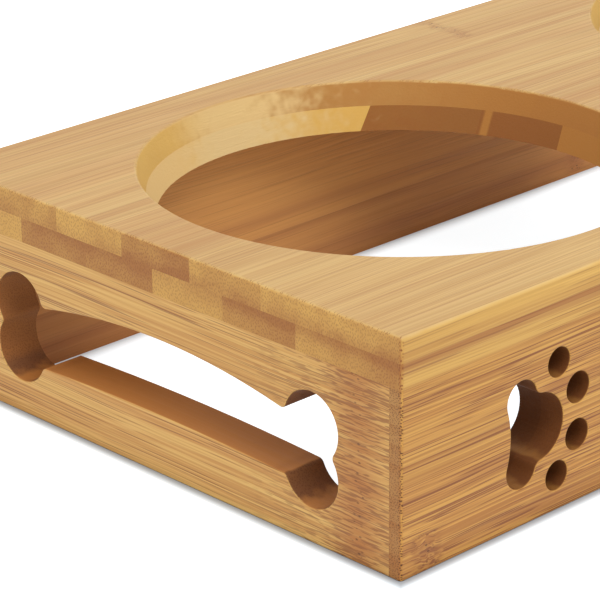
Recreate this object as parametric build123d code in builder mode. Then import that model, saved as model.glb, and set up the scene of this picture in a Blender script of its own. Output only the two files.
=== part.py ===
"""A low raised feeder stand for two pet bowls, in laminated bamboo.

Two layers of glued strips make the top board, which has two tapered bowl holes. The board lies on
a box of four panels: a front with paw cut-outs, a plain back, and two ends with bone-shaped hand
holds. The front and back run the full length, and their rebated ends lap over the end panels.

Millimetres. The origin is on the floor at the middle of the footprint, with +X along the length,
+Y to the back and +Z up.
"""

import math
import os

from build123d import *

# Bowl holes, which narrow downwards, so that the sloping side of a bowl beds in them
hole_top_radius = 78.0
hole_narrowing = 5.5
hole_rim_easing = 1.0

# Top board: the borders round the holes, and two layers of strips with staggered joints. A layer's
# first strip, along the front, and its last were cut to width, and the even ones between fill it
end_border = 19.0
side_border = 17.0
web = 50.0
layer_thickness = 7.5
upper_first_width = 24.3
upper_last_width = 24.2
upper_even_strips = 5
lower_first_width = 10.6
lower_last_width = 7.8
lower_even_strips = 6

# Panels
panel_height = 55.0
front_layer = 8.0
back_thickness = 12.0
end_thickness = 14.0
lap_thickness = 4.4

# The outer corners and the top rim of the stand, the edge that stands on the floor, and the outer
# edges of the cut-outs
edge_easing = 1.0
foot_easing = 0.5
cut_easing = 0.5

# Bone-shaped hand hold, with sizes from its centre: two lobes at each end of an arched grip
bone_half_length = 61.2
lobe_radius = 10.2
lobe_rise = 6.9
grip_top_end = 6.2
grip_top_middle = 14.0
grip_bottom_end = -10.8
grip_bottom_middle = -9.0
bone_easing = 2.0

# Paw cut-out, lying on its side with its toes towards the middle of the front, with sizes from
# the centre of the pad's broad end
paw_from_end = 53.8
pad_radius = 10.0
heel_radius = 5.8
heel_setback = 6.8
heel_rise = 10.2
hollow_setback = 11.0
hollow_rise = 8.0
pad_easing = 3.0
outer_toe_reach = 7.9
outer_toe_rise = 17.0
outer_toe_radius = 4.35
inner_toe_reach = 16.05
inner_toe_rise = 7.1
inner_toe_radius = 4.6

# Worked out from the above
end_face = end_border + 2 * hole_top_radius + web / 2
side_face = side_border + hole_top_radius
hole_offset = web / 2 + hole_top_radius
hole_bottom_radius = hole_top_radius - hole_narrowing
board_thickness = 2 * layer_thickness
layer_joint = panel_height + layer_thickness
height = panel_height + board_thickness
hole_taper = hole_narrowing / board_thickness
front_thickness = 2 * front_layer
inner_end_face = end_face - end_thickness
lap_face = side_face - lap_thickness
panel_middle = panel_height / 2
overcut = 1.0


def span(x_from, x_to, y_from, y_to):
    """Draws a rectangle between these limits in the open sketch."""
    with Locations(((x_from + x_to) / 2, (y_from + y_to) / 2)):
        Rectangle(x_to - x_from, y_to - y_from)


def save(piece, name):
    """Labels a finished piece and writes it as a node of that name."""
    piece.part.label = name
    export_step(piece.part, f"parts/{name}.step")


def strip_faces(first_width, last_width, even_strips):
    """The two long faces of each strip of a layer, from the front of the board to its back."""
    first_joint = first_width - side_face
    even_width = (2 * side_face - first_width - last_width) / even_strips
    joints = [first_joint + even_width * number for number in range(even_strips + 1)]
    return zip([-side_face, *joints], [*joints, side_face])


os.makedirs("parts", exist_ok=True)

# The outside of the whole stand, with its corners, top rim and feet eased
with BuildPart() as outside:
    with BuildSketch():
        Rectangle(2 * end_face, 2 * side_face)
    extrude(amount=height)
    fillet(outside.edges().filter_by(Axis.Z), radius=edge_easing)
    fillet(outside.faces().sort_by(Axis.Z)[-1].edges(), radius=edge_easing)
    fillet(outside.faces().sort_by(Axis.Z)[0].edges(), radius=foot_easing)

# What is routed out of the board for a bowl: a cone with a rounded mouth
with BuildPart() as bowl_space:
    with BuildSketch(Plane.XZ):
        with BuildLine():
            mouth_radius = hole_top_radius + 2 * hole_rim_easing
            Polyline(
                (0, panel_height - overcut),
                (hole_bottom_radius - overcut * hole_taper, panel_height - overcut),
                (hole_top_radius, height),
                (mouth_radius, height),
                (mouth_radius, height + overcut),
                (0, height + overcut),
                close=True,
            )
        profile = make_face()
        rim = profile.vertices().sort_by_distance((hole_top_radius, height))[0]
        fillet(rim, radius=hole_rim_easing)
    revolve(axis=Axis.Z)

# The strips of the top board. Where both faces of a strip lie within the narrowest part of the
# holes in its layer, they cut it through, and it is three solids.
whole = {"": (-end_face, end_face)}
in_three = {
    "_left": (-end_face, -hole_offset),
    "_web": (-hole_offset, hole_offset),
    "_right": (hole_offset, end_face),
}
for layer, layer_bottom, *widths in (
    ("upper", layer_joint, upper_first_width, upper_last_width, upper_even_strips),
    ("lower", panel_height, lower_first_width, lower_last_width, lower_even_strips),
):
    hole_radius = hole_bottom_radius + (layer_bottom - panel_height) * hole_taper
    for number, faces in enumerate(strip_faces(*widths), start=1):
        cut_through = max(abs(face) for face in faces) < hole_radius
        for suffix, ends in (in_three if cut_through else whole).items():
            with BuildPart() as strip:
                with BuildSketch(Plane.XY.offset(layer_bottom)):
                    span(*ends, *faces)
                extrude(amount=layer_thickness)
                add(outside.part, mode=Mode.INTERSECT)
                with Locations((-hole_offset, 0), (hole_offset, 0)):
                    add(bowl_space.part, mode=Mode.SUBTRACT)
            save(strip, f"{layer}_strip_{number}{suffix}")

# The paw cut-outs, drawn as seen from the front
with BuildSketch(Plane.XZ) as paws:
    for side in (-1, 1):
        pad = side * (end_face - paw_from_end)
        heel = pad + side * heel_setback
        shoulder = heel + side * math.sqrt(heel_radius**2 - (heel_rise - hollow_rise) ** 2)
        with Locations((pad, panel_middle)):
            Circle(pad_radius)
        with Locations((heel, panel_middle + heel_rise), (heel, panel_middle - heel_rise)):
            Circle(heel_radius)
        with BuildLine():
            hollow = ThreePointArc(
                (shoulder, panel_middle + hollow_rise),
                (pad + side * hollow_setback, panel_middle),
                (shoulder, panel_middle - hollow_rise),
            )
            Polyline(
                hollow @ 1,
                (pad, panel_middle - hollow_rise),
                (pad, panel_middle + hollow_rise),
                hollow @ 0,
            )
        make_face()
    fillet(paws.vertices(), radius=pad_easing)
    for side in (-1, 1):
        for reach, rise, radius in (
            (outer_toe_reach, outer_toe_rise, outer_toe_radius),
            (inner_toe_reach, inner_toe_rise, inner_toe_radius),
        ):
            toe = side * (end_face - paw_from_end - reach)
            with Locations((toe, panel_middle + rise), (toe, panel_middle - rise)):
                Circle(radius)

# Front panel, outer layer: its rebated ends lap over the end panels
with BuildPart() as front_outer:
    with BuildSketch():
        span(-end_face, end_face, -side_face, -lap_face)
        span(-inner_end_face, inner_end_face, -side_face, front_layer - side_face)
    extrude(amount=panel_height)
    add(outside.part, mode=Mode.INTERSECT)
    extrude(paws.sketch, amount=side_face, mode=Mode.SUBTRACT)
    front_face = front_outer.faces().sort_by(Axis.Y)[0]
    fillet(front_face.inner_wires().edges(), radius=cut_easing)
save(front_outer, "front_outer_layer")

# Front panel, inner layer, which fits between the end panels
with BuildPart() as front_inner:
    with BuildSketch():
        span(-inner_end_face, inner_end_face, front_layer - side_face, front_thickness - side_face)
    extrude(amount=panel_height)
    extrude(paws.sketch, amount=side_face, mode=Mode.SUBTRACT)
save(front_inner, "front_inner_layer")

# Back panel, rebated like the front
with BuildPart() as back:
    with BuildSketch():
        span(-end_face, end_face, lap_face, side_face)
        span(-inner_end_face, inner_end_face, side_face - back_thickness, side_face)
    extrude(amount=panel_height)
    add(outside.part, mode=Mode.INTERSECT)
save(back, "back_panel")

# The hand hold, drawn as seen from the right-hand end
with BuildSketch(Plane.YZ) as bone:
    for end in (-bone_half_length, bone_half_length):
        with Locations((end, panel_middle + lobe_rise), (end, panel_middle - lobe_rise)):
            Circle(lobe_radius)
    with BuildLine():
        grip_top = ThreePointArc(
            (-bone_half_length, panel_middle + grip_top_end),
            (0, panel_middle + grip_top_middle),
            (bone_half_length, panel_middle + grip_top_end),
        )
        grip_bottom = ThreePointArc(
            (bone_half_length, panel_middle + grip_bottom_end),
            (0, panel_middle + grip_bottom_middle),
            (-bone_half_length, panel_middle + grip_bottom_end),
        )
        Line(grip_top @ 1, grip_bottom @ 0)
        Line(grip_bottom @ 1, grip_top @ 0)
    make_face()
    fillet(bone.vertices(), radius=bone_easing)

# End panels, between the laps of the front and the back
for name, x_limits, outer_side in (
    ("end_panel_left", (-end_face, -inner_end_face), 0),
    ("end_panel_right", (inner_end_face, end_face), -1),
):
    with BuildPart() as end_panel:
        with BuildSketch():
            span(*x_limits, -lap_face, lap_face)
        extrude(amount=panel_height)
        add(outside.part, mode=Mode.INTERSECT)
        extrude(bone.sketch, amount=end_face, both=True, mode=Mode.SUBTRACT)
        outer_face = end_panel.faces().sort_by(Axis.X)[outer_side]
        fillet(outer_face.inner_wires().edges(), radius=cut_easing)
    save(end_panel, name)
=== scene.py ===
"""Dresses the raised feeder stand: laminated bamboo, a white floor, soft daylight and a camera."""

import math

import bmesh
import bpy
from mathutils import Euler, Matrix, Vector


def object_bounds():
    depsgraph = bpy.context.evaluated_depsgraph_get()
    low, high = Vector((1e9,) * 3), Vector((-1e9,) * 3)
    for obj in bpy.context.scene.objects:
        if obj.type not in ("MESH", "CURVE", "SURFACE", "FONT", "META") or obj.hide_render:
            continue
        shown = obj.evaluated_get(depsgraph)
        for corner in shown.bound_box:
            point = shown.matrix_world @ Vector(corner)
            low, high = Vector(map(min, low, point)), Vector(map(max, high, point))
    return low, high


bl_info = {
    "name": "Raised Feeder Stand",
    "version": (1, 0, 0),
    "blender": (4, 5, 0),
    "location": "View3D > Sidebar > Feeder",
    "description": "Finishes the bamboo pieces of a raised feeder stand and sets its stage",
    "category": "Object",
}

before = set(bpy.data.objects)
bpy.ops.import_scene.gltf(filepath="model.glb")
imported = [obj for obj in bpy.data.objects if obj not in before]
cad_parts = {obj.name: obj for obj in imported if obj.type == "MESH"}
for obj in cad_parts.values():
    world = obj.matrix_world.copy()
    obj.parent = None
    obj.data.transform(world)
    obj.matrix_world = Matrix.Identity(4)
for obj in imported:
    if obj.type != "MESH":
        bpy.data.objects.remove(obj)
cad_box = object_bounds()
half_length, half_depth, height = cad_box[1]
MM = 1000.0


# ---------------------------------------------------------------- the settings


def colour_setting(name, description, default):
    """A colour that a user can change."""
    return bpy.props.FloatVectorProperty(
        name=name, description=description, subtype="COLOR", default=default, min=0, max=1
    )


def number_setting(name, description, default, unit="NONE", least=0.0):
    """A size, a power or a strength that a user can change."""
    return bpy.props.FloatProperty(
        name=name, description=description, default=default, min=least, unit=unit
    )


def place_setting(name, description, default):
    """A place in the scene that a user can change."""
    return bpy.props.FloatVectorProperty(
        name=name, description=description, subtype="TRANSLATION", default=default, unit="LENGTH"
    )


class BambooColours(bpy.types.PropertyGroup):
    """Colours that all the bamboo of the stand is mixed from."""

    pale: colour_setting(
        "Pale pith", "Soft inner part of the cane, in the board's upper layer", (0.69, 0.455, 0.168)
    )
    golden: colour_setting(
        "Golden pith",
        "Warmer pith of the front panel, the lower layer and the outside of the back panel",
        (0.69, 0.366, 0.079),
    )
    copper: colour_setting(
        "Copper pith", "Redder pith on the inner face of the back panel", (0.82, 0.392, 0.110)
    )
    straw: colour_setting("Straw pith", "Light pith of the end panels", (0.79, 0.488, 0.147))
    cut: colour_setting(
        "Cut pith", "Pith where a strip of the board is cut across", (0.695, 0.385, 0.098)
    )
    lap: colour_setting(
        "Lap pith",
        "Cut ends of the front and back panels, which lap over the end panels",
        (0.53, 0.278, 0.088),
    )
    brown: colour_setting(
        "Brown cane", "Brown strips, and the dense side of each strip", (0.40, 0.156, 0.039)
    )
    # On the back panel henna is also the colour of the painted shade towards the bottom
    henna: colour_setting(
        "Henna", "Dense side of the strips of the back panel", (0.44, 0.150, 0.047)
    )
    fibre: colour_setting("Fibres", "Bundles of dark fibre, and glue lines", (0.27, 0.09, 0.025))
    pore: colour_setting(
        "Pores", "Open pores and the eyes of a knuckle", (0.10, 0.032, 0.010)
    )
    # Cream on the lower layer's walls that face +X is painted light, paler as if lit from the right
    cream: colour_setting(
        "Cream",
        "Walls of the bowl holes along the grain in the upper layer, and cleaner ones in the lower",
        (0.86, 0.60, 0.26),
    )
    # Ivory on the board's edges is partly sanding and partly a painted highlight
    ivory: colour_setting(
        "Ivory",
        "Sanded and highlit edges of the board, and walls of the bowl holes along the grain in the lower layer",
        (0.85, 0.64, 0.31),
    )
    # Honey on the upper layer's walls that face +X is painted light, paler as if lit from the right
    honey: colour_setting(
        "Honey",
        "Long sides of the board, and the cleaner walls of the bowl holes in the upper layer",
        (0.79, 0.480, 0.117),
    )
    amber: colour_setting(
        "Amber", "Walls of the bowl holes where most strips are cut across", (0.48, 0.202, 0.039)
    )
    chestnut: colour_setting(
        "Chestnut", "Brown walls of the bowl holes, in the lower layer", (0.265, 0.080, 0.0165)
    )
    umber: colour_setting(
        "Umber", "Reddest wall of the bowl holes, in the lower layer", (0.250, 0.058, 0.0105)
    )
    toasted: colour_setting(
        "Toasted",
        "Walls of the hand holds along the grain, and the brown of the end panels",
        (0.48, 0.182, 0.043),
    )
    russet: colour_setting(
        "Russet", "Walls of the hand holds where the grain is cut across", (0.192, 0.065, 0.024)
    )
    sienna: colour_setting("Sienna", "Walls of the paws along the grain", (0.28, 0.112, 0.023))
    scorched: colour_setting(
        "Scorched",
        "Walls of the paws across the grain, in the outer layer of the front panel",
        (0.165, 0.050, 0.0085),
    )
    charred: colour_setting(
        "Charred",
        "Walls of the paws across the grain, in the inner layer of the front panel",
        (0.140, 0.042, 0.0065),
    )


class StageSettings(bpy.types.PropertyGroup):
    """The floor, the lamps and the camera."""

    floor_half_size: number_setting(
        "Floor half size", "From the middle of the floor to its edge", 6.0, "LENGTH", least=1.0
    )
    floor_colour: colour_setting("Floor colour", "Colour of the floor", (0.82, 0.86, 0.89))
    # Painted shade: the floor right beside the panels is darker
    contact_shade_colour: colour_setting(
        "Contact shade colour", "Colour of the floor right beside the stand", (0.44, 0.47, 0.50)
    )
    inner_colour: colour_setting(
        "Inner colour",
        "Colour of the floor within the panels, which sends less light up to them",
        (0.56, 0.58, 0.60),
    )
    floor_glow: colour_setting(
        "Floor glow", "Light that lifts the floor to white where it is looked at", (0.76, 0.84, 0.88)
    )
    inner_glow: colour_setting(
        "Inner glow", "The same light on the floor within the panels", (0.834, 0.883, 0.907)
    )
    contact_width: number_setting(
        "Contact width",
        "How far from the panels, on their outside, the floor is shaded",
        0.0055,
        "LENGTH",
    )
    inner_contact_width: number_setting(
        "Inner contact width",
        "How far from the panels, on their inside, the floor is shaded",
        0.0075,
        "LENGTH",
    )
    sky_strength: number_setting("Sky", "Even light from all round", 0.70)
    key_power: number_setting("Key lamp power", "Large soft lamp overhead", 29.0, "POWER")
    key_size: number_setting("Key lamp size", "Width of the key lamp", 1.6, "LENGTH", least=0.1)
    key_place: place_setting(
        "Key lamp place", "Where the key lamp hangs", (-0.48, -1.19, 2.26)
    )
    fill_power: number_setting("Fill lamp power", "Low soft lamp at the left", 2.0, "POWER")
    fill_size: number_setting("Fill lamp size", "Width of the fill lamp", 0.4, "LENGTH", least=0.1)
    fill_place: place_setting(
        "Fill lamp place", "Where the fill lamp stands", (-2.0, -0.6, 0.22)
    )
    camera_place: place_setting(
        "Camera place", "Where the camera stands", (-0.71543, -0.59258, 0.37039)
    )
    camera_turn: bpy.props.FloatVectorProperty(
        name="Camera turn",
        description="Tilt, roll and heading of the camera",
        subtype="EULER",
        default=(math.radians(67.9735), math.radians(0.4992), math.radians(-44.1415)),
        unit="ROTATION",
    )
    camera_lens: number_setting(
        "Lens", "Focal length on a sensor 36 mm wide", 182.4, "CAMERA", least=1.0
    )


# ---------------------------------------------------------------- nodes


def feed(tree, socket, value):
    """Links value to the socket if it is a socket, and otherwise sets it there."""
    if isinstance(value, bpy.types.NodeSocket):
        tree.links.new(value, socket)
    elif socket.type == "RGBA" and len(value) == 3:
        socket.default_value = (*value, 1)
    else:
        socket.default_value = value


def add_node(tree, kind, inputs=None, **settings):
    """Adds a node with its settings and with its inputs by name or number."""
    node = tree.nodes.new(kind)
    for name, value in settings.items():
        setattr(node, name, value)
    for key, value in (inputs or {}).items():
        feed(tree, node.inputs[key], value)
    return node


def calculate(tree, operation, *values):
    """One Math node."""
    inputs = dict(enumerate(values))
    return add_node(tree, "ShaderNodeMath", inputs, operation=operation).outputs[0]


def multiply(tree, first, second):
    """The product of two values."""
    return calculate(tree, "MULTIPLY", first, second)


def subtract(tree, first, second):
    """The first value less the second."""
    return calculate(tree, "SUBTRACT", first, second)


def move_vector(tree, operation, *values):
    """One Vector Math node."""
    node = add_node(tree, "ShaderNodeVectorMath", dict(enumerate(values)), operation=operation)
    return node.outputs["Value" if operation == "DOT_PRODUCT" else "Vector"]


def blend_colours(tree, factor, first, second, mode="MIX"):
    """One Mix node for colours."""
    node = add_node(tree, "ShaderNodeMix", data_type="RGBA", blend_type=mode)
    feed(tree, node.inputs["Factor"], factor)
    feed(tree, node.inputs["A"], first)
    feed(tree, node.inputs["B"], second)
    return node.outputs["Result"]


def remap(tree, value, low, high, to_low=0.0, to_high=1.0):
    """A smooth step of value from low to high."""
    node = add_node(
        tree,
        "ShaderNodeMapRange",
        {"Value": value, "From Min": low, "From Max": high, "To Min": to_low, "To Max": to_high},
        interpolation_type="SMOOTHSTEP",
    )
    return node.outputs["Result"]


def split(tree, vector):
    """The three parts of a vector."""
    return add_node(tree, "ShaderNodeSeparateXYZ", {0: vector}).outputs


def across_grain(tree, amount):
    """A vector with this amount in both directions across the grain."""
    return add_node(tree, "ShaderNodeCombineXYZ", {"Y": amount, "Z": amount}).outputs[0]


def stretched_noise(tree, vector, waves, detail=1.0, roughness=0.5):
    """Noise with so many waves per millimetre along the grain and across it."""
    along, across = waves
    scaled = move_vector(tree, "MULTIPLY", vector, (along, across, across))
    return add_node(
        tree,
        "ShaderNodeTexNoise",
        {"Vector": scaled, "Scale": 1.0, "Detail": detail, "Roughness": roughness},
    ).outputs


def chance(tree, number, series):
    """A random value from 0 to 1 for each whole number, different in each series."""
    seed = calculate(tree, "ADD", number, series)
    node = add_node(tree, "ShaderNodeTexWhiteNoise", {"W": seed}, noise_dimensions="1D")
    return node.outputs["Value"]


def use_group(tree, group, given, others=None):
    """A node that runs a group on others, by name, and else on what is given. Returns its outputs."""
    node = add_node(tree, "ShaderNodeGroup", others, node_tree=group)
    for socket in node.inputs:
        if not socket.is_linked:
            feed(tree, socket, given[socket.name])
    return node.outputs


def new_group(name, inputs, outputs):
    """An empty shader node group with its sockets. Returns the tree, its inputs and its outputs."""
    tree = bpy.data.node_groups.new(name, "ShaderNodeTree")
    kinds = {"value": "NodeSocketFloat", "vector": "NodeSocketVector", "colour": "NodeSocketColor"}
    for in_out, sockets in (("INPUT", inputs), ("OUTPUT", outputs)):
        for label, kind, *default in sockets:
            socket = tree.interface.new_socket(label, in_out=in_out, socket_type=kinds[kind])
            if default:
                socket.default_value = default[0]
    given = tree.nodes.new("NodeGroupInput")
    result = tree.nodes.new("NodeGroupOutput")
    return tree, given.outputs, result.inputs


# ---------------------------------------------------------------- the features of bamboo


# Waves of each noise in a millimetre, along the grain and across it
PATCH_WAVES = (0.3, 0.3)
WANDER_WAVES = (0.0, 0.16)
TWIST_WAVES = (0.22, 0.30)
EYE_WAVES = (0.45, 0.8)
BEND_WAVES = (0.011, 0.05)
RIPPLE_WAVES = (0.014, 0.9)
FADING_WAVES = (0.03, 0.7)
GAP_WAVES = (0.025, 1.1)
TICK_WAVES = (0.16, 1.7)
LINE_WAVES = (0.009, 1.5)
DRIFT_WAVES = (0.006, 0.11)
BLUSH_WAVES = (0.004, 0.22)
WEAR_WAVES = (0.15, 0.5)
MEAN = 0.5
MEAN_COLOUR = (0.5, 0.5, 0.5)

# Between which two values each noise, from 0 to 1, brings its feature in. The last two numbers of
# a row of four are how strong the feature is before and after that.
FADING_STEP = (0.3, 0.7, 0.6, 1.1)
GAP_STEP = (0.32, 0.58)
TICK_STEP = (0.50, 0.62)
LINE_STEP = (0.34, 0.66)
DRIFT_STEP = (0.3, 0.7)
BLUSH_STEP = (0.28, 0.72)
WEAR_STEP = (0.25, 0.6, 0.45, 1.0)

# The same for how squarely a surface faces along the grain, to the lightened side and out of its face
END_STEP = (0.6, 0.95)
LIGHTENED_STEP = (0.05, 0.38)
TURNED_STEP = (0.9, 0.4)
CUT_STEP = (0.1, 0.55)

# The same for the distance from the middle of an eye, and for the density that browns a strip and
# the brightness of a line that gleams
EYE_STEP = (0.30, 0.14)
SKIN_STEP = (0.35, 1.0)
GLEAM_STEP = (0.75, 1.0)

# How far the noise moves the border of a cut wall, and how irregular the pattern of bundles is
PATCHINESS = 0.5
IRREGULARITY = 0.9

# Series of random values for the strips: which are turned over, and how brown each is
TURN_SERIES = 0.0
TONE_SERIES = 31.7

# In millimetres: how soon a routed wall starts, a glue line's half width, how far a knuckle wanders
# along the grain, how far the fibres bend and ripple, and how wide a sanded edge, with its painted
# highlight, is
WALL_START = 0.4
GLUE_HALF_WIDTH = 0.12
KNUCKLE_WANDER = 8.0
BEND = 5.0
RIPPLE = 0.7
SANDED_AND_HIGHLIT_WIDTH = 1.1


def cut_group():
    """Where a surface cuts across the grain, and where it is the wall of a routed opening."""
    tree, given, result = new_group(
        "Cut surfaces",
        [
            ("Vector", "vector"),
            ("Grain", "vector", (1.0, 0.0, 0.0)),
            ("Face", "vector", (0.0, 0.0, 1.0)),
            ("Clean", "vector"),
            ("Middle", "vector"),
            ("Reach", "vector"),
        ],
        [
            ("Cut across", "value"),
            ("End face", "value"),
            ("Clean side", "value"),
            ("Routed", "value"),
            ("Side", "value"),
        ],
    )
    normal = tree.nodes.new("ShaderNodeNewGeometry").outputs["Normal"]
    across = calculate(tree, "ABSOLUTE", move_vector(tree, "DOT_PRODUCT", normal, given["Grain"]))
    feed(tree, result["End face"], remap(tree, across, *END_STEP))
    # How far a surface faces the lightened side: on the board, walls painted paler as if lit from the
    # right
    clean = move_vector(tree, "DOT_PRODUCT", normal, given["Clean"])
    feed(tree, result["Clean side"], remap(tree, clean, *LIGHTENED_STEP))
    facing = calculate(tree, "ABSOLUTE", move_vector(tree, "DOT_PRODUCT", normal, given["Face"]))
    turned_away = remap(tree, facing, *TURNED_STEP)
    away = move_vector(tree, "SUBTRACT", given["Vector"], given["Middle"])
    away = move_vector(tree, "ABSOLUTE", away)
    room = split(tree, move_vector(tree, "SUBTRACT", given["Reach"], away))
    least = calculate(tree, "MINIMUM", calculate(tree, "MINIMUM", room["X"], room["Y"]), room["Z"])
    inside = remap(tree, least, 0.0, WALL_START)
    routed = multiply(tree, turned_away, inside)
    feed(tree, result["Routed"], routed)
    patches = stretched_noise(tree, given["Vector"], PATCH_WAVES)["Fac"]
    patches = multiply(tree, subtract(tree, patches, MEAN), routed)
    across = calculate(tree, "MULTIPLY_ADD", patches, PATCHINESS, across)
    feed(tree, result["Cut across"], remap(tree, across, *CUT_STEP))
    outside = subtract(tree, 1.0, inside)
    feed(tree, result["Side"], multiply(tree, turned_away, outside))
    return tree


def strips_group():
    """Strips of cane glued side by side, each dense and dark towards its skin side."""
    tree, given, result = new_group(
        "Glued strips",
        [
            ("Vector", "vector"),
            ("Strip start", "value"),
            ("Strip width", "value"),
            ("Skin on top", "value"),
            ("Turned at random", "value"),
        ],
        [("Density", "value"), ("Number", "value"), ("Tone", "value"), ("Glue line", "value")],
    )
    level = subtract(tree, split(tree, given["Vector"])["Z"], given["Strip start"])
    place = calculate(tree, "DIVIDE", level, given["Strip width"])
    number = calculate(tree, "FLOOR", place)
    feed(tree, result["Number"], number)
    feed(tree, result["Tone"], chance(tree, number, TONE_SERIES))
    within = subtract(tree, place, number)
    mirrored = subtract(tree, 1.0, within)
    turned = calculate(tree, "GREATER_THAN", chance(tree, number, TURN_SERIES), 0.5)
    turned = multiply(tree, turned, given["Turned at random"])
    turns = calculate(tree, "ADD", turned, given["Skin on top"])
    skin_on_top = calculate(tree, "PINGPONG", turns, 1.0)
    choice = {"Factor": skin_on_top, "A": mirrored, "B": within}
    density = add_node(tree, "ShaderNodeMix", choice, data_type="FLOAT")
    feed(tree, result["Density"], density.outputs["Result"])
    edge = calculate(tree, "MINIMUM", within, mirrored)
    edge = multiply(tree, edge, given["Strip width"])
    feed(tree, result["Glue line"], remap(tree, edge, GLUE_HALF_WIDTH, 0.0))
    return tree


def knuckle_group():
    """The joints of a cane: bands across the grain where the fibres swirl round small eyes."""
    tree, given, result = new_group(
        "Cane knuckles",
        [
            ("Vector", "vector"),
            ("Number", "value"),
            ("Knuckle", "value"),
            ("Knuckle step", "value"),
            ("Knuckle spacing", "value"),
            ("Knuckle width", "value"),
            ("Swirl strength", "value"),
            ("Eye reach", "value"),
            ("Tick reach", "value"),
        ],
        [("Band", "value"), ("Swirl", "vector"), ("Eyes", "value"), ("Ticks", "value")],
    )
    vector = given["Vector"]
    along = split(tree, vector)["X"]
    pair = calculate(tree, "FLOOR", multiply(tree, given["Number"], 0.5))
    place = calculate(tree, "MULTIPLY_ADD", pair, given["Knuckle step"], given["Knuckle"])
    wander = stretched_noise(tree, vector, WANDER_WAVES)["Fac"]
    wander = subtract(tree, wander, MEAN)
    place = calculate(tree, "MULTIPLY_ADD", wander, KNUCKLE_WANDER, place)
    half = multiply(tree, given["Knuckle spacing"], 0.5)
    away = calculate(tree, "ADD", subtract(tree, along, place), half)
    away = calculate(tree, "FLOORED_MODULO", away, given["Knuckle spacing"])
    away = calculate(tree, "ABSOLUTE", subtract(tree, away, half))
    band = remap(tree, away, given["Knuckle width"], 0.0)
    feed(tree, result["Band"], band)
    feed(tree, result["Ticks"], remap(tree, away, given["Tick reach"], 0.0))
    twist = stretched_noise(tree, vector, TWIST_WAVES)["Color"]
    twist = move_vector(tree, "SUBTRACT", twist, MEAN_COLOUR)
    strength = multiply(tree, band, given["Swirl strength"])
    swirl = move_vector(tree, "MULTIPLY", twist, across_grain(tree, strength))
    feed(tree, result["Swirl"], swirl)
    scaled = move_vector(tree, "MULTIPLY", vector, (EYE_WAVES[0], EYE_WAVES[1], EYE_WAVES[1]))
    cells = add_node(tree, "ShaderNodeTexVoronoi", {"Vector": scaled, "Scale": 1.0})
    eye = remap(tree, cells.outputs["Distance"], *EYE_STEP)
    middle = remap(tree, away, given["Eye reach"], 0.0)
    feed(tree, result["Eyes"], multiply(tree, eye, middle))
    return tree


def bundle_sections(tree, distance, crowding, growth, least, blur):
    """Discs round the middles of the cells, which grow with the crowding of the bundles."""
    size = calculate(tree, "MULTIPLY_ADD", crowding, growth, least)
    return remap(tree, distance, calculate(tree, "ADD", size, blur), size)


def fibre_group():
    """Fibre bundles that run along the grain: lines on a face, dots where they are cut across."""
    tree, given, result = new_group(
        "Fibre bundles",
        [
            ("Vector", "vector"),
            ("Swirl", "vector"),
            ("Ticks", "value"),
            ("Waviness", "value"),
            ("Fibre spacing", "value"),
            ("Fibre flatness", "value"),
            ("Crowding", "value"),
        ],
        [
            ("Dots", "value"),
            ("Dashes", "value"),
            ("Lines", "value"),
            ("Drift", "value"),
            ("Blush", "value"),
        ],
    )
    vector = given["Vector"]
    moved = move_vector(tree, "ADD", vector, given["Swirl"])
    for waves, amount in ((BEND_WAVES, BEND), (RIPPLE_WAVES, RIPPLE)):
        wave = stretched_noise(tree, vector, waves)["Color"]
        wave = move_vector(tree, "SUBTRACT", wave, MEAN_COLOUR)
        amount = multiply(tree, given["Waviness"], amount)
        moved = move_vector(tree, "MULTIPLY_ADD", wave, across_grain(tree, amount), moved)
    parts = split(tree, moved)
    tall = multiply(tree, parts["Z"], given["Fibre flatness"])
    section = add_node(tree, "ShaderNodeCombineXYZ", {"X": parts["Y"], "Y": tall}).outputs[0]
    per_mm = calculate(tree, "DIVIDE", 1.0, given["Fibre spacing"])
    distance = add_node(
        tree,
        "ShaderNodeTexVoronoi",
        {"Vector": section, "Scale": per_mm, "Randomness": IRREGULARITY},
        voronoi_dimensions="2D",
    ).outputs["Distance"]
    fading = remap(tree, stretched_noise(tree, moved, FADING_WAVES)["Fac"], *FADING_STEP)
    faded = multiply(tree, given["Crowding"], fading)
    bundles = bundle_sections(tree, distance, faded, growth=0.28, least=0.02, blur=0.12)
    dots = bundle_sections(tree, distance, given["Crowding"], growth=0.12, least=0.12, blur=0.14)
    feed(tree, result["Dots"], dots)
    broken = remap(tree, stretched_noise(tree, moved, GAP_WAVES)["Fac"], *GAP_STEP)
    dashes = multiply(tree, bundles, broken)
    ticks = remap(tree, stretched_noise(tree, moved, TICK_WAVES)["Fac"], *TICK_STEP)
    ticks = multiply(tree, ticks, given["Ticks"])
    feed(tree, result["Dashes"], calculate(tree, "MAXIMUM", dashes, ticks))
    lines = stretched_noise(tree, moved, LINE_WAVES, roughness=0.6)["Fac"]
    feed(tree, result["Lines"], remap(tree, lines, *LINE_STEP))
    drift = stretched_noise(tree, vector, DRIFT_WAVES, detail=2.0, roughness=0.55)["Fac"]
    feed(tree, result["Drift"], remap(tree, drift, *DRIFT_STEP))
    blush = stretched_noise(tree, moved, BLUSH_WAVES)["Fac"]
    feed(tree, result["Blush"], remap(tree, blush, *BLUSH_STEP))
    return tree


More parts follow.
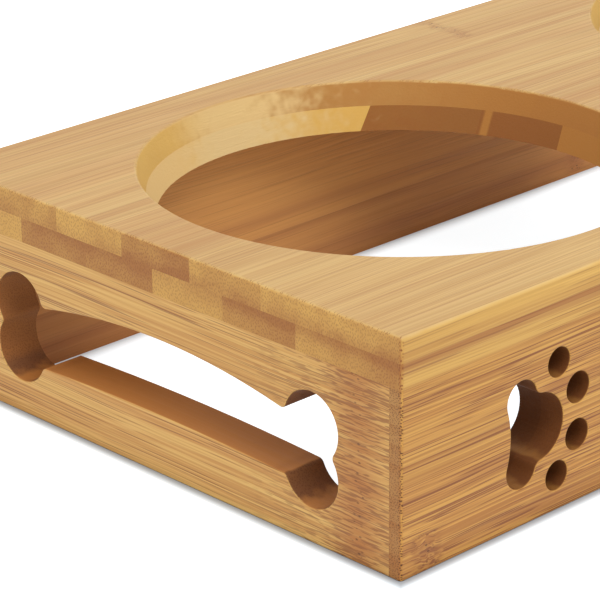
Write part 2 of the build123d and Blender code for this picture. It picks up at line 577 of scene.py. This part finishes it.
def edge_group():
    """The sanded outer edges, where a painted highlight also goes: along the top of the board, across
    its ends and at the corners.
    """
    tree, given, result = new_group(
        "Sanded and highlit edges",
        [("Vector", "vector")],
        [("Long edges", "value"), ("End edges", "value"), ("Corners", "value")],
    )
    parts = split(tree, given["Vector"])
    near = {}
    for axis, limit in (("X", half_length), ("Y", half_depth), ("Z", height)):
        away = subtract(tree, MM * limit, calculate(tree, "ABSOLUTE", parts[axis]))
        near[axis] = remap(tree, away, SANDED_AND_HIGHLIT_WIDTH, 0.0)
    worn = stretched_noise(tree, given["Vector"], WEAR_WAVES)["Fac"]
    worn = remap(tree, worn, *WEAR_STEP)
    for label, first, second in (
        ("Long edges", "Y", "Z"),
        ("End edges", "X", "Z"),
        ("Corners", "X", "Y"),
    ):
        both = multiply(tree, near[first], near[second])
        both = calculate(tree, "POWER", both, 0.5)
        feed(tree, result[label], multiply(tree, both, worn))
    return tree


# ---------------------------------------------------------------- the whole look of bamboo


# The inputs of the whole look: places and directions, colours, values that are 0 unless a piece
# sets them, and the other values as they are for most pieces
VECTORS = ("Vector", "Place on stand", "Lean", "Middle")
COLOURS = (
    "Pith", "Side pith", "Cut pith", "Clean pith", "Edge pith", "Wall", "Cut wall", "Clean wall",
    "Streak wall", "Brown", "Fibre", "Pore", "Dot",
)
OFF = (
    "Cut across", "End face", "Clean side", "Routed", "Side", "Streak", "Streak place", "Wall burn",
    "Wall dots", "Tone", "Strip start", "Skin on top", "Turned at random", "Knuckle",
    "Knuckle step",
)
USUAL = {
    "Wall strength": 0.8,
    "Wall tone": 0.3,
    "Lean share": 0.2,
    "Face share": 1.0,
    "Blush strength": 1.0,
    "Drift strength": 0.22,
    "Variety": 0.15,
    "Strip width": 5.5,
    "Skin strength": 0.3,
    "Fewest fibres": 0.2,
    "Waviness": 1.0,
    "Fibre spacing": 0.65,
    "Fibre flatness": 1.0,
    "Line strength": 0.6,
    "Dot strength": 0.6,
    "Knuckle spacing": 240.0,
    "Knuckle tone": 0.2,
    "Knuckle width": 5.0,
    "Swirl strength": 3.2,
    "Eye reach": 3.5,
    "Tick reach": 5.0,
    "Eye strength": 0.7,
}

# Tints of the red patches on a face, and of a wall that faces along the grain
BLUSH_TINT = (0.95, 0.86, 0.84)
BURN_TINT = (0.84, 0.73, 0.70)

# The most that a strip gets paler across its width, where it gets browner the other way
LEAST_LEAN = -0.25

# How strongly the sanded edges are paler, partly from sanding and partly as a painted highlight, or
# have more dots, and how much browner corners are
LONG_EDGE_SANDING_AND_HIGHLIGHT = 0.5
END_EDGE_SANDING_AND_HIGHLIGHT = 0.2
END_EDGE_DOTS = 0.25
CORNER_TONE = 0.3
CORNER_DOTS = 0.9

# How far, in millimetres, a streak's soft sides and its core reach from its middle
STREAK_SIDE = 1.7
STREAK_CORE = 0.7

# How strongly the lines, their gleams and the glue lines show, what is left of the lines on the
# lightened side, and the strength of a wall's colour that hides them
LINE_DEPTH = 0.7
GLEAM_DEPTH = 0.25
GLUE_DEPTH = 0.2
LIGHTENED_SIDE_LINES = 0.19
BARE_WALL = 0.8

# Roughness of the lacquer between the lines, and what the lines, cut ends and routed walls add
SATIN = 0.50
LINE_ROUGHNESS = -0.08
CUT_ROUGHNESS = 0.12
ROUTED_ROUGHNESS = 0.15

# The relief of the grain: the depth of its dots beside the lines, and of the whole in metres
DOT_RELIEF = -0.6
RELIEF_STRENGTH = 0.35
RELIEF_DEPTH = 0.00006
LACQUER = 0.3


def brownness(tree, given, away, strips, knuckle, fibres, edges):
    """How far the ground between the fibres goes from pith to brown."""
    end_face = given["End face"]
    share = remap(tree, end_face, 0.0, 1.0, given["Face share"], 1.0)
    tone = multiply(tree, given["Tone"], share)
    lean = move_vector(tree, "DOT_PRODUCT", away, given["Lean"])
    lean = calculate(tree, "MAXIMUM", lean, LEAST_LEAN)
    for feature, strength in (
        (lean, remap(tree, end_face, 0.0, 1.0, given["Lean share"], 1.0)),
        (subtract(tree, fibres["Drift"], MEAN), given["Drift strength"]),
        (remap(tree, strips["Density"], *SKIN_STEP), given["Skin strength"]),
        (strips["Tone"], given["Variety"]),
        (knuckle["Band"], given["Knuckle tone"]),
        (edges["Corners"], CORNER_TONE),
    ):
        tone = calculate(tree, "MULTIPLY_ADD", feature, strength, tone)
    on_walls = remap(tree, given["Routed"], 0.0, 1.0, 1.0, given["Wall tone"])
    return multiply(tree, tone, on_walls)


def pith_colour(tree, given, fibres, edges):
    """The ground between the fibres before it is browned."""
    ground = blend_colours(tree, given["Side"], given["Pith"], given["Side pith"])
    blush = multiply(tree, fibres["Blush"], given["Blush strength"])
    ground = blend_colours(tree, blush, ground, BLUSH_TINT, "MULTIPLY")
    ground = blend_colours(tree, given["Clean side"], ground, given["Clean pith"])
    ground = blend_colours(tree, given["End face"], ground, given["Cut pith"])
    # Paler sanded edges: partly real sanding, partly a painted highlight
    light = multiply(tree, edges["Long edges"], LONG_EDGE_SANDING_AND_HIGHLIGHT)
    light = calculate(tree, "MULTIPLY_ADD", edges["End edges"], END_EDGE_SANDING_AND_HIGHLIGHT, light)
    return blend_colours(tree, light, ground, given["Edge pith"])


def wall_colour(tree, given, away):
    """The walls of the routed openings before they are browned."""
    behind = subtract(tree, split(tree, away)["Y"], given["Streak place"])
    behind = calculate(tree, "ABSOLUTE", behind)
    streak = remap(tree, behind, STREAK_SIDE, STREAK_CORE)
    streak = multiply(tree, given["Streak"], streak)
    cut_wall = blend_colours(tree, streak, given["Cut wall"], given["Streak wall"])
    colour = blend_colours(tree, given["Cut across"], given["Wall"], cut_wall)
    # Walls on the lightened side of the board: painted light, paler as if lit from the right
    colour = blend_colours(tree, given["Clean side"], colour, given["Clean wall"])
    burn = multiply(tree, given["End face"], given["Wall burn"])
    return blend_colours(tree, burn, colour, BURN_TINT, "MULTIPLY")


def lines_along(tree, given, ground, wall, fibres):
    """The ground with the lines and dashes of its fibres, where they run along it."""
    bare = remap(tree, wall, 0.0, BARE_WALL, 1.0, 0.0)
    strength = multiply(tree, given["Line strength"], bare)
    calm = remap(tree, given["Clean side"], 0.0, 1.0, 1.0, LIGHTENED_SIDE_LINES)
    strength = multiply(tree, strength, calm)
    line = subtract(tree, 1.0, fibres["Lines"])
    line = multiply(tree, line, LINE_DEPTH)
    line = multiply(tree, line, strength)
    face = blend_colours(tree, line, ground, given["Brown"])
    gleam = multiply(tree, remap(tree, fibres["Lines"], *GLEAM_STEP), GLEAM_DEPTH)
    gleam = multiply(tree, gleam, strength)
    face = blend_colours(tree, gleam, face, given["Side pith"])
    dash = multiply(tree, fibres["Dashes"], strength)
    return blend_colours(tree, dash, face, given["Fibre"])


def dots_across(tree, given, ground, wall, fibres, edges):
    """The ground with the dots of its fibres, where they are cut across."""
    strength = given["Dot strength"]
    strength = calculate(tree, "MULTIPLY_ADD", edges["End edges"], END_EDGE_DOTS, strength)
    strength = calculate(tree, "MULTIPLY_ADD", edges["Corners"], CORNER_DOTS, strength)
    bare = remap(tree, wall, 0.0, BARE_WALL, 1.0, given["Wall dots"])
    dot = multiply(tree, multiply(tree, fibres["Dots"], strength), bare)
    return blend_colours(tree, dot, ground, given["Dot"])


def bamboo_group(groups):
    """The whole look of laminated bamboo, from the groups for its features."""
    inputs = [(label, "vector") for label in VECTORS]
    inputs += [(label, "colour") for label in COLOURS]
    inputs += [(label, "value") for label in OFF]
    inputs += [(label, "value", usual) for label, usual in USUAL.items()]
    tree, given, result = new_group(
        "Bamboo", inputs, [("Color", "colour"), ("Roughness", "value"), ("Height", "value")]
    )
    strips = use_group(tree, groups["strips"], given)
    knuckle = use_group(tree, groups["knuckle"], given, {"Number": strips["Number"]})
    fewest = given["Fewest fibres"]
    more = subtract(tree, 1.0, fewest)
    crowding = calculate(tree, "MULTIPLY_ADD", strips["Density"], more, fewest)
    bundles = {"Swirl": knuckle["Swirl"], "Ticks": knuckle["Ticks"], "Crowding": crowding}
    fibres = use_group(tree, groups["fibre"], given, bundles)
    edges = use_group(tree, groups["edges"], given, {"Vector": given["Place on stand"]})
    away = move_vector(tree, "SUBTRACT", given["Place on stand"], given["Middle"])

    wall = multiply(tree, given["Routed"], given["Wall strength"])
    ground = pith_colour(tree, given, fibres, edges)
    ground = blend_colours(tree, wall, ground, wall_colour(tree, given, away))
    tone = brownness(tree, given, away, strips, knuckle, fibres, edges)
    ground = blend_colours(tree, tone, ground, given["Brown"])
    face = lines_along(tree, given, ground, wall, fibres)
    end = dots_across(tree, given, ground, wall, fibres, edges)
    look = blend_colours(tree, given["Cut across"], face, end)
    eyes = multiply(tree, knuckle["Eyes"], given["Eye strength"])
    look = blend_colours(tree, eyes, look, given["Pore"])
    glue = multiply(tree, strips["Glue line"], GLUE_DEPTH)
    feed(tree, result["Color"], blend_colours(tree, glue, look, given["Fibre"]))

    rough = calculate(tree, "MULTIPLY_ADD", fibres["Lines"], LINE_ROUGHNESS, SATIN)
    rough = calculate(tree, "MULTIPLY_ADD", given["Cut across"], CUT_ROUGHNESS, rough)
    rough = calculate(tree, "MULTIPLY_ADD", given["Routed"], ROUTED_ROUGHNESS, rough)
    feed(tree, result["Roughness"], rough)
    relief = calculate(tree, "MULTIPLY_ADD", fibres["Dots"], DOT_RELIEF, fibres["Lines"])
    relief = subtract(tree, relief, knuckle["Eyes"])
    feed(tree, result["Height"], subtract(tree, relief, strips["Glue line"]))
    return tree


GROUPS = {}


def shared_groups():
    """The node groups, built once."""
    if not GROUPS:
        GROUPS.update(
            cut=cut_group(),
            strips=strips_group(),
            knuckle=knuckle_group(),
            fibre=fibre_group(),
            edges=edge_group(),
        )
        GROUPS["bamboo"] = bamboo_group(GROUPS)
    return GROUPS


def bamboo(name, cut, turn=0.0, shift=0.0, **values):
    """A lacquered bamboo material.

    The grain runs along X, or along Y where turn is a quarter turn. Its pattern is lifted by shift.
    """
    groups = shared_groups()
    material = bpy.data.materials.new(name)
    material.use_nodes = True
    tree = material.node_tree
    shader = tree.nodes["Principled BSDF"]
    place = tree.nodes.new("ShaderNodeTexCoord").outputs["Object"]
    to_mm = {"Vector": place, "Scale": (MM, MM, MM)}
    place = add_node(tree, "ShaderNodeMapping", to_mm).outputs[0]
    turned = {"Vector": place, "Rotation": (0, 0, turn), "Location": (0, 0, shift)}
    grain = add_node(tree, "ShaderNodeMapping", turned).outputs[0]
    cuts = add_node(tree, "ShaderNodeGroup", {"Vector": place}, node_tree=groups["cut"])
    cuts.inputs["Grain"].default_value = (math.cos(turn), math.sin(turn), 0)
    for label, value in cut.items():
        feed(tree, cuts.inputs[label.capitalize()], value)
    look = add_node(
        tree,
        "ShaderNodeGroup",
        {
            "Vector": grain,
            "Place on stand": place,
            **{socket.name: socket for socket in cuts.outputs},
        },
        node_tree=groups["bamboo"],
    )
    colours = bpy.context.scene.feeder_bamboo
    values = {"brown": colours.brown, "fibre": colours.fibre, "pore": colours.pore, **values}
    values.setdefault("dot", colours.fibre)
    values.setdefault("side_pith", values["pith"])
    values.setdefault("clean_pith", values["pith"])
    values.setdefault("edge_pith", values["pith"])
    values.setdefault("clean_wall", values.get("cut_wall", values["pith"]))
    for label, value in values.items():
        socket = look.inputs[label.replace("_", " ").capitalize()]
        feed(tree, socket, value if socket.type == "VALUE" else value[:])
    relief = {
        "Height": look.outputs["Height"],
        "Strength": RELIEF_STRENGTH,
        "Distance": RELIEF_DEPTH,
    }
    bump = add_node(tree, "ShaderNodeBump", relief)
    feed(tree, shader.inputs["Base Color"], look.outputs["Color"])
    feed(tree, shader.inputs["Roughness"], look.outputs["Roughness"])
    feed(tree, shader.inputs["Normal"], bump.outputs["Normal"])
    shader.inputs["Specular IOR Level"].default_value = LACQUER
    return material


# ---------------------------------------------------------------- the pieces


# For each kind of piece, in millimetres where a length is meant: the direction in which its flat
# faces look, the direction in which its lightened side looks, and the middle and the half size of the
# box in which the other faces are routed walls. On the board the lightened side is painted light:
# its walls facing +X are paler, as if lit from the right. On the back panel it is the inner face.
BOARD_CUTS = {
    "face": (0, 0, 1),
    "clean": (1, 0, 0),
    "middle": (0, 0, 62.5),
    "reach": (198.7, 93.7, 20),
}
FRONT_CUTS = {"face": (0, 1, 0), "middle": (0, 0, 27.5), "reach": (185, 100, 26.7)}
BACK_CUTS = {"face": (0, 1, 0), "clean": (0, -1, 0)}
END_CUTS = {"face": (1, 0, 0), "middle": (0, 0, 27.5), "reach": (210, 88, 26.7)}

# The grain of the front and back panels, whose strips of cane lie on top of each other
PANEL_GRAIN = {
    "face_share": 0.0,
    "strip_width": 5.6,
    "turned_at_random": 1.0,
    "fewest_fibres": 0.4,
    "line_strength": 1.1,
    "waviness": 0.6,
    "knuckle_width": 8.0,
    "eye_reach": 5.6,
    "tick_reach": 8.0,
}

# How far, in millimetres, each strip's pattern is lifted from the last one's, and the lower layer's
# from the upper layer's
STRIP_SHIFT = 40.0
LAYER_SHIFTS = {"upper": 0.0, "lower": 400.0}

# How far a strip's cane reaches past its faces, in millimetres, so that no glue line lies in them
SPARE = 0.1

# How much stronger the dots of a fully brown strip are than those of a pale one
BROWN_DOTS = 0.3


def dress(node_name, material):
    """Gives a CAD node its material."""
    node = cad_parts.get(node_name)
    if node is None:
        raise RuntimeError(f"the frame has no piece {node_name}")
    for slot in node.material_slots:
        slot.material = material


def reach(node_name, axis, limit):
    """The least or the most that a CAD node reaches along an axis, in metres."""
    return limit(corner[axis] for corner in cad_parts[node_name].bound_box)


def strip_pieces(layer, number):
    """The CAD nodes of one strip: one, or three where the holes cut it through."""
    stem = f"{layer}_strip_{number}"
    names = [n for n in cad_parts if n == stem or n.startswith(stem + "_")]
    if not names:
        raise RuntimeError(f"the frame has no strip {stem}")
    return names


def finish_strip(layer, number, tone, lean, dots, **values):
    """Gives one strip of the board its own material, on each of its pieces."""
    colours = bpy.context.scene.feeder_bamboo
    names = strip_pieces(layer, number)
    front, back = (MM * reach(names[0], 1, limit) for limit in (min, max))
    bottom, top = (MM * reach(names[0], 2, limit) for limit in (min, max))
    shift = LAYER_SHIFTS[layer] + STRIP_SHIFT * number
    material = bamboo(
        f"bamboo_{layer}_{number}",
        BOARD_CUTS,
        shift=shift,
        side_pith=colours.honey,
        cut_pith=colours.cut,
        # The board's edges: partly sanded, partly a painted highlight
        edge_pith=colours.ivory,
        wall_burn=1.0,
        tone=tone,
        lean=(0.0, -lean, 0.0),
        middle=(0.0, (front + back) / 2, 0.0),
        strip_start=bottom - SPARE + shift,
        strip_width=top - bottom + 2 * SPARE,
        fewest_fibres=0.45,
        waviness=0.4,
        fibre_spacing=0.58,
        fibre_flatness=0.55,
        dot_strength=dots + BROWN_DOTS * tone,
        knuckle_spacing=420.0,
        **values,
    )
    for name in names:
        dress(name, material)


class FEEDER_OT_upper_layer(bpy.types.Operator):
    """Finish the strips of the board's upper layer"""

    bl_idname = "feeder.upper_layer"
    bl_label = "Upper layer"

    # for each strip from the front: how brown it is, how much more so for each millimetre towards
    # the front, how dark its skin side is, its knuckle, and how strong its red patches are
    strips = (
        (0.14, 0.008, 0.45, 90.0, 0.4),
        (0.08, 0.006, 0.30, 190.0, 0.4),
        (0.22, 0.014, 0.30, 130.0, 0.4),
        (0.60, 0.008, 0.35, 60.0, 1.0),
        (0.05, 0.006, 0.20, 120.0, 1.0),
        (0.22, 0.004, 0.20, 185.0, 1.0),
        (0.00, 0.004, 0.10, 4.0, 1.0),
    )

    def execute(self, context):
        colours = context.scene.feeder_bamboo
        for number, (tone, lean, skin, knuckle, blush) in enumerate(self.strips, start=1):
            finish_strip(
                "upper",
                number,
                tone,
                lean,
                dots=0.38,
                pith=colours.pale,
                wall=colours.cream,
                cut_wall=colours.amber,
                # Walls facing +X: painted light, paler as if lit from the right
                clean_wall=colours.honey,
                face_share=0.2,
                blush_strength=blush,
                drift_strength=0.34,
                skin_strength=skin,
                line_strength=0.38,
                knuckle=knuckle,
            )
        return {"FINISHED"}


class FEEDER_OT_lower_layer(bpy.types.Operator):
    """Finish the strips of the board's lower layer"""

    bl_idname = "feeder.lower_layer"
    bl_label = "Lower layer"

    # as for the upper layer as far as the knuckle, then the colour of its wall in a bowl hole, and
    # how far behind the strip's middle a pale streak crosses that wall, or None
    strips = (
        (0.62, 0.010, 0.60, 120.0, "chestnut", None),
        (0.30, 0.008, 0.45, 20.0, "amber", None),
        (0.54, 0.010, 0.45, 150.0, "amber", None),
        (0.10, 0.004, 0.20, 80.0, "amber", None),
        (0.72, 0.004, 0.20, 100.0, "umber", 12.1),
        (0.62, 0.004, 0.20, 130.0, "chestnut", None),
        (0.00, 0.004, 0.00, 60.0, "honey", None),
        (0.20, 0.004, 0.20, 0.0, "amber", None),
    )

    def execute(self, context):
        colours = context.scene.feeder_bamboo
        for number, strip in enumerate(self.strips, start=1):
            tone, lean, skin, knuckle, wall, streak = strip
            finish_strip(
                "lower",
                number,
                tone,
                lean,
                dots=0.36,
                pith=colours.golden,
                wall=colours.ivory,
                cut_wall=getattr(colours, wall),
                # Walls facing +X: painted light, paler as if lit from the right
                clean_wall=colours.cream,
                streak_wall=colours.amber,
                streak=0.0 if streak is None else 1.0,
                streak_place=streak or 0.0,
                wall_tone=0.0,
                face_share=0.4,
                skin_on_top=1.0,
                skin_strength=skin,
                line_strength=0.6,
                knuckle=knuckle,
            )
        return {"FINISHED"}


class FEEDER_OT_front(bpy.types.Operator):
    """Finish the two layers of the front panel"""

    bl_idname = "feeder.front"
    bl_label = "Front panel"

    def execute(self, context):
        colours = context.scene.feeder_bamboo
        for name, knuckle, wall in (
            ("front_outer_layer", -190.0, colours.scorched),
            ("front_inner_layer", 40.0, colours.charred),
        ):
            material = bamboo(
                f"bamboo_{name}",
                FRONT_CUTS,
                **PANEL_GRAIN,
                pith=colours.golden,
                cut_pith=colours.lap,
                wall=colours.sienna,
                cut_wall=wall,
                wall_strength=1.0,
                wall_tone=0.0,
                wall_dots=0.4,
                tone=0.5,
                lean=(0.0, 0.0, -0.008),
                lean_share=0.5,
                middle=(0.0, 0.0, 30.0),
                dot=colours.pore,
                dot_strength=0.55,
                knuckle=knuckle,
                knuckle_step=105.0,
                knuckle_tone=0.35,
                eye_strength=0.85,
            )
            dress(name, material)
        return {"FINISHED"}


class FEEDER_OT_back(bpy.types.Operator):
    """Finish the back panel"""

    bl_idname = "feeder.back"
    bl_label = "Back panel"

    def execute(self, context):
        colours = context.scene.feeder_bamboo
        material = bamboo(
            "bamboo_back",
            BACK_CUTS,
            **PANEL_GRAIN,
            pith=colours.golden,
            cut_pith=colours.lap,
            clean_pith=colours.copper,
            brown=colours.henna,
            tone=0.5,
            # Painted shade: browner towards the bottom and towards the left, paler towards the right.
            # The outer face is also paler than the inner face.
            lean=(-0.0008, -0.1, -0.0195),
            lean_share=1.0,
            middle=(-80.0, MM * reach("back_panel", 1, min), 25.0),
            strip_start=1.0,
            dot=colours.pore,
            dot_strength=0.7,
            knuckle=75.0,
            knuckle_step=195.0,
            knuckle_spacing=420.0,
        )
        dress("back_panel", material)
        return {"FINISHED"}


class FEEDER_OT_ends(bpy.types.Operator):
    """Finish the two end panels"""

    bl_idname = "feeder.ends"
    bl_label = "End panels"

    def execute(self, context):
        colours = context.scene.feeder_bamboo
        for name, knuckle, strip_start in (
            ("end_panel_left", 79.0, 0.0),
            ("end_panel_right", -66.0, 2.0),
        ):
            material = bamboo(
                f"bamboo_{name}",
                END_CUTS,
                turn=math.pi / 2,
                pith=colours.straw,
                cut_pith=colours.straw,
                brown=colours.toasted,
                wall=colours.toasted,
                cut_wall=colours.russet,
                wall_strength=0.95,
                wall_tone=0.43,
                wall_dots=0.6,
                lean=(0.0, 0.0083, 0.0),
                lean_share=0.0,
                middle=(0.0, -60.0, 0.0),
                strip_start=strip_start,
                strip_width=5.8,
                turned_at_random=1.0,
                variety=0.05,
                skin_strength=0.15,
                line_strength=0.75,
                waviness=0.5,
                dot=colours.pore,
                knuckle=knuckle,
                knuckle_tone=0.75,
                knuckle_width=15.0,
                swirl_strength=0.4,
                tick_reach=58.0,
                eye_strength=0.75,
            )
            dress(name, material)
        return {"FINISHED"}


# ---------------------------------------------------------------- the stage


# How far under the panels, in metres, the shade of the floor within them starts to clear
UNDER_PANELS = 0.004


def seen_directly(tree):
    """1 for rays that look at a surface: from the camera, a reflection or through glass."""
    path = tree.nodes.new("ShaderNodeLightPath").outputs
    seen = calculate(tree, "MAXIMUM", path["Is Camera Ray"], path["Is Glossy Ray"])
    return calculate(tree, "MAXIMUM", seen, path["Is Transmission Ray"])


def clear_of_stand(tree, settings):
    """How clear the floor is of the panels, from 0 under them to 1, and whether it is within them."""
    place = split(tree, tree.nodes.new("ShaderNodeTexCoord").outputs["Object"])
    from_middle = calculate(tree, "ABSOLUTE", place["X"])
    outside = subtract(tree, from_middle, half_length)
    depth = subtract(tree, calculate(tree, "ABSOLUTE", place["Y"]), half_depth)
    outside = calculate(tree, "MAXIMUM", outside, depth)
    ends = subtract(tree, reach("end_panel_right", 0, min), from_middle)
    front = subtract(tree, place["Y"], reach("front_inner_layer", 1, max))
    back = subtract(tree, reach("back_panel", 1, min), place["Y"])
    within = calculate(tree, "MINIMUM", ends, calculate(tree, "MINIMUM", front, back))
    clear_outside = remap(tree, outside, 0.0, settings.contact_width)
    clear_within = remap(tree, within, -UNDER_PANELS, settings.inner_contact_width)
    clear = calculate(tree, "MAXIMUM", clear_outside, clear_within)
    return clear, calculate(tree, "GREATER_THAN", within, 0.0)


class FEEDER_OT_stage(bpy.types.Operator):
    """Lay the white floor and set the sky, the lamps and the camera"""

    bl_idname = "feeder.stage"
    bl_label = "Stage"

    def execute(self, context):
        scene = context.scene
        settings = scene.feeder_stage
        self.lay_floor(scene, settings)
        self.light(scene, settings)
        self.place_camera(scene, settings)
        scene.view_settings.view_transform = "Standard"
        return {"FINISHED"}

    def lay_floor(self, scene, settings):
        """A wide white floor that keeps the stand's shadow, with a painted shade right beside the
        panels.
        """
        shape = bmesh.new()
        bmesh.ops.create_grid(shape, x_segments=2, y_segments=2, size=settings.floor_half_size)
        mesh = bpy.data.meshes.new("floor")
        shape.to_mesh(mesh)
        shape.free()
        floor = bpy.data.objects.new("floor", mesh)
        scene.collection.objects.link(floor)
        material = bpy.data.materials.new("white_floor")
        material.use_nodes = True
        tree = material.node_tree
        tree.nodes.clear()
        clear, inside = clear_of_stand(tree, settings)
        colour = blend_colours(tree, inside, settings.floor_colour[:], settings.inner_colour[:])
        # Painted contact shade: beside the panels the floor turns to the darker contact colour
        colour = blend_colours(tree, clear, settings.contact_shade_colour[:], colour)
        matt = add_node(tree, "ShaderNodeBsdfDiffuse", {"Color": colour})
        glow = blend_colours(tree, inside, settings.floor_glow[:], settings.inner_glow[:])
        seen = multiply(tree, seen_directly(tree), clear)
        lifted = add_node(tree, "ShaderNodeEmission", {"Color": glow, "Strength": seen})
        both = add_node(tree, "ShaderNodeAddShader", {0: matt.outputs[0], 1: lifted.outputs[0]})
        add_node(tree, "ShaderNodeOutputMaterial", {"Surface": both.outputs[0]})
        mesh.materials.append(material)

    def light(self, scene, settings):
        """An even sky, white where it is looked at, and two soft lamps."""
        world = bpy.data.worlds.new("studio")
        world.use_nodes = True
        tree = world.node_tree
        tree.nodes.clear()
        lift = multiply(tree, seen_directly(tree), 1.0 - settings.sky_strength)
        strength = calculate(tree, "ADD", lift, settings.sky_strength)
        sky = add_node(tree, "ShaderNodeBackground", {"Color": (1, 1, 1, 1), "Strength": strength})
        add_node(tree, "ShaderNodeOutputWorld", {"Surface": sky.outputs[0]})
        scene.world = world
        for name, power, size, place in (
            ("key_lamp", settings.key_power, settings.key_size, settings.key_place),
            ("fill_lamp", settings.fill_power, settings.fill_size, settings.fill_place),
        ):
            self.hang_lamp(scene, name, power, size, place)

    def hang_lamp(self, scene, name, power, size, place):
        """A round lamp that faces the stand."""
        lamp = bpy.data.lights.new(name, "AREA")
        lamp.shape = "DISK"
        lamp.size = size
        lamp.energy = power
        hung = bpy.data.objects.new(name, lamp)
        hung.location = place
        hung.rotation_euler = Vector(place).to_track_quat("Z", "Y").to_euler()
        scene.collection.objects.link(hung)

    def place_camera(self, scene, settings):
        """The camera, with no depth of field and no shift."""
        lens = bpy.data.cameras.new("camera")
        lens.sensor_width = 36.0
        lens.lens = settings.camera_lens
        lens.clip_start = 0.01
        camera = bpy.data.objects.new("camera", lens)
        camera.location = settings.camera_place
        camera.rotation_euler = Euler(settings.camera_turn)
        scene.collection.objects.link(camera)
        scene.camera = camera


# ---------------------------------------------------------------- the panel and the run


class FEEDER_PT_panel(bpy.types.Panel):
    """Lists the settings and the steps in the sidebar"""

    bl_label = "Raised feeder stand"
    bl_idname = "FEEDER_PT_panel"
    bl_space_type = "VIEW_3D"
    bl_region_type = "UI"
    bl_category = "Feeder"

    def draw(self, context):
        for settings in (context.scene.feeder_bamboo, context.scene.feeder_stage):
            box = self.layout.box()
            for name in settings.__annotations__:
                box.prop(settings, name)
        for step in STEPS:
            self.layout.operator(step.bl_idname)


STEPS = (
    FEEDER_OT_upper_layer,
    FEEDER_OT_lower_layer,
    FEEDER_OT_front,
    FEEDER_OT_back,
    FEEDER_OT_ends,
    FEEDER_OT_stage,
)
CLASSES = (BambooColours, StageSettings, *STEPS, FEEDER_PT_panel)


def register():
    for each in CLASSES:
        bpy.utils.register_class(each)
    bpy.types.Scene.feeder_bamboo = bpy.props.PointerProperty(type=BambooColours)
    bpy.types.Scene.feeder_stage = bpy.props.PointerProperty(type=StageSettings)


def unregister():
    del bpy.types.Scene.feeder_stage
    del bpy.types.Scene.feeder_bamboo
    for each in reversed(CLASSES):
        bpy.utils.unregister_class(each)


def main():
    """Runs every step."""
    register()
    for step in STEPS:
        group, name = step.bl_idname.split(".")
        getattr(getattr(bpy.ops, group), name)()


if __name__ == "__main__":
    main()
